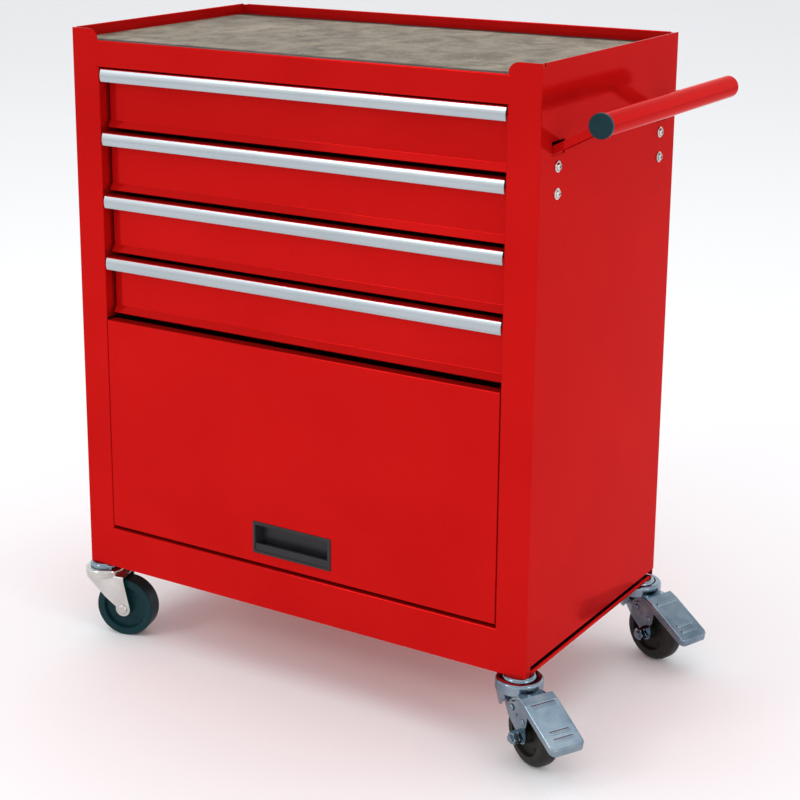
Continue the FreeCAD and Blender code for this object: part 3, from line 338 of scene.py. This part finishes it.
# The two braked casters run on black rubber, the plain ones on dark plastic,
# and the plain ones are plated brighter.
BRIGHT_ZINC = zinc_plate(
    "bright_zinc", (0.46, 0.46, 0.44), (0.58, 0.58, 0.56), (0.68, 0.68, 0.66), 0.10, 0.18)
TYRE = moulded(
    "tyre_rubber", (0.006, 0.006, 0.005), (0.016, 0.015, 0.011), 0.45, 0.62,
    grain=700.0, relief=RUBBER_RELIEF)
OWN_FINISHES = {
    # The tray's band behind the side panels gets painted shade, so the gap below them looks dark.
    "base_tray": powder_coat("powder_coat_tray", cavity_of="base_tray"),
    "caster_wheel_front_right": TYRE,
    "caster_wheel_rear_right": TYRE,
    "caster_fork_front_left": BRIGHT_ZINC,
    "caster_fork_rear_left": BRIGHT_ZINC,
    "caster_axle_front_left": BRIGHT_ZINC,
    "caster_axle_rear_left": BRIGHT_ZINC,
    "handle_fixings": BRIGHT_ZINC,
}

# A small bevel, by finish. Most edges of the CAD meshes are split and stay sharp;
# it eases only the few whose faces share their points.
EASED_EDGES = {
    "red_powder_coat": 0.35 * MM,
    "zinc_plate": 0.40 * MM,
    "wheel_black": 0.50 * MM,
    "black_plastic": 0.30 * MM,
}
EASED_SEGMENTS = 2
EASED_FROM = math.radians(40)

for part in frame["record"]["subparts"]:
    node = frame["nodes"][part["node"]]
    slot = part["material_slot"]
    node.data.materials.clear()
    node.data.materials.append(OWN_FINISHES.get(part["node"], FINISHES[slot]))
    if slot in EASED_EDGES:
        eased = node.modifiers.new("eased_edges", "BEVEL")
        eased.width = EASED_EDGES[slot]
        eased.segments = EASED_SEGMENTS
        eased.limit_method = "ANGLE"
        eased.angle_limit = EASED_FROM


# ---- Floor, light and colour ----

FLOOR_REACH = 14.0
FLOOR_DARK = (0.965, 0.965, 0.965)
FLOOR_LIGHT = (0.98, 0.98, 0.98)
# The sky is white up to the first height, 0 being level and 1 overhead, and grey
# from the second.
SKY_WHITE = (1.0, 1.0, 1.0, 1.0)
SKY_GREY = (0.50, 0.51, 0.54, 1.0)
SKY_WHITE_TO = 0.30
SKY_GREY_FROM = 0.85
SKY_STRENGTH = 1.20
# Each light: where it stands, where it points, its width and height, its watts.
LIGHTS = {
    "key_light": ((-1.6, -2.8, 2.2), (0.0, 0.0, 0.4), 0.9, 0.8, 15.0),
    "side_light": ((3.0, -0.8, 1.6), (0.2, 0.0, 0.4), 0.4, 1.4, 7.0),
    "top_light": ((0.0, 0.0, 4.0), (0.0, 0.0, 0.4), 5.0, 5.0, 55.0),
}


def floor():
    """A wide, flat, pale floor."""
    mesh = bmesh.new()
    bmesh.ops.create_grid(mesh, x_segments=1, y_segments=1, size=FLOOR_REACH)
    data = bpy.data.meshes.new("floor")
    mesh.to_mesh(data)
    mesh.free()
    plane = bpy.data.objects.new("floor", data)
    bpy.context.scene.collection.objects.link(plane)
    n = Nodes("floor_pale")
    n.colour(n.ramp(n.noise(0.6, detail=2.0), [(0.3, FLOOR_DARK), (0.7, FLOOR_LIGHT)]))
    n.set(Roughness=0.75, Specular_IOR_Level=0.15)
    data.materials.append(n.material)


def area_light(name, place, aim, width, height, power):
    data = bpy.data.lights.new(name, "AREA")
    data.shape = "RECTANGLE"
    data.size = width
    data.size_y = height
    data.energy = power
    lamp = bpy.data.objects.new(name, data)
    bpy.context.scene.collection.objects.link(lamp)
    lamp.location = place
    lamp.rotation_mode = "QUATERNION"
    lamp.rotation_quaternion = (Vector(place) - Vector(aim)).to_track_quat("Z", "Y")


def studio():
    """Light from all round, white at the horizon and greyer overhead, so that
    metal has something to mirror."""
    scene_world = bpy.data.worlds.new("studio")
    scene_world.use_nodes = True
    tree = scene_world.node_tree
    background = tree.nodes["Background"]
    direction = tree.nodes.new("ShaderNodeTexCoord")
    parts = tree.nodes.new("ShaderNodeSeparateXYZ")
    shade = tree.nodes.new("ShaderNodeValToRGB")
    elements = shade.color_ramp.elements
    elements[0].position = SKY_WHITE_TO
    elements[0].color = SKY_WHITE
    elements[1].position = SKY_GREY_FROM
    elements[1].color = SKY_GREY
    tree.links.new(direction.outputs["Generated"], parts.inputs["Vector"])
    tree.links.new(parts.outputs["Z"], shade.inputs["Fac"])
    tree.links.new(shade.outputs["Color"], background.inputs["Color"])
    background.inputs["Strength"].default_value = SKY_STRENGTH
    bpy.context.scene.world = scene_world


floor()
studio()
for light_name, (place, aim, width, height, power) in LIGHTS.items():
    area_light(light_name, place, aim, width, height, power)
bpy.context.scene.view_settings.view_transform = "Standard"
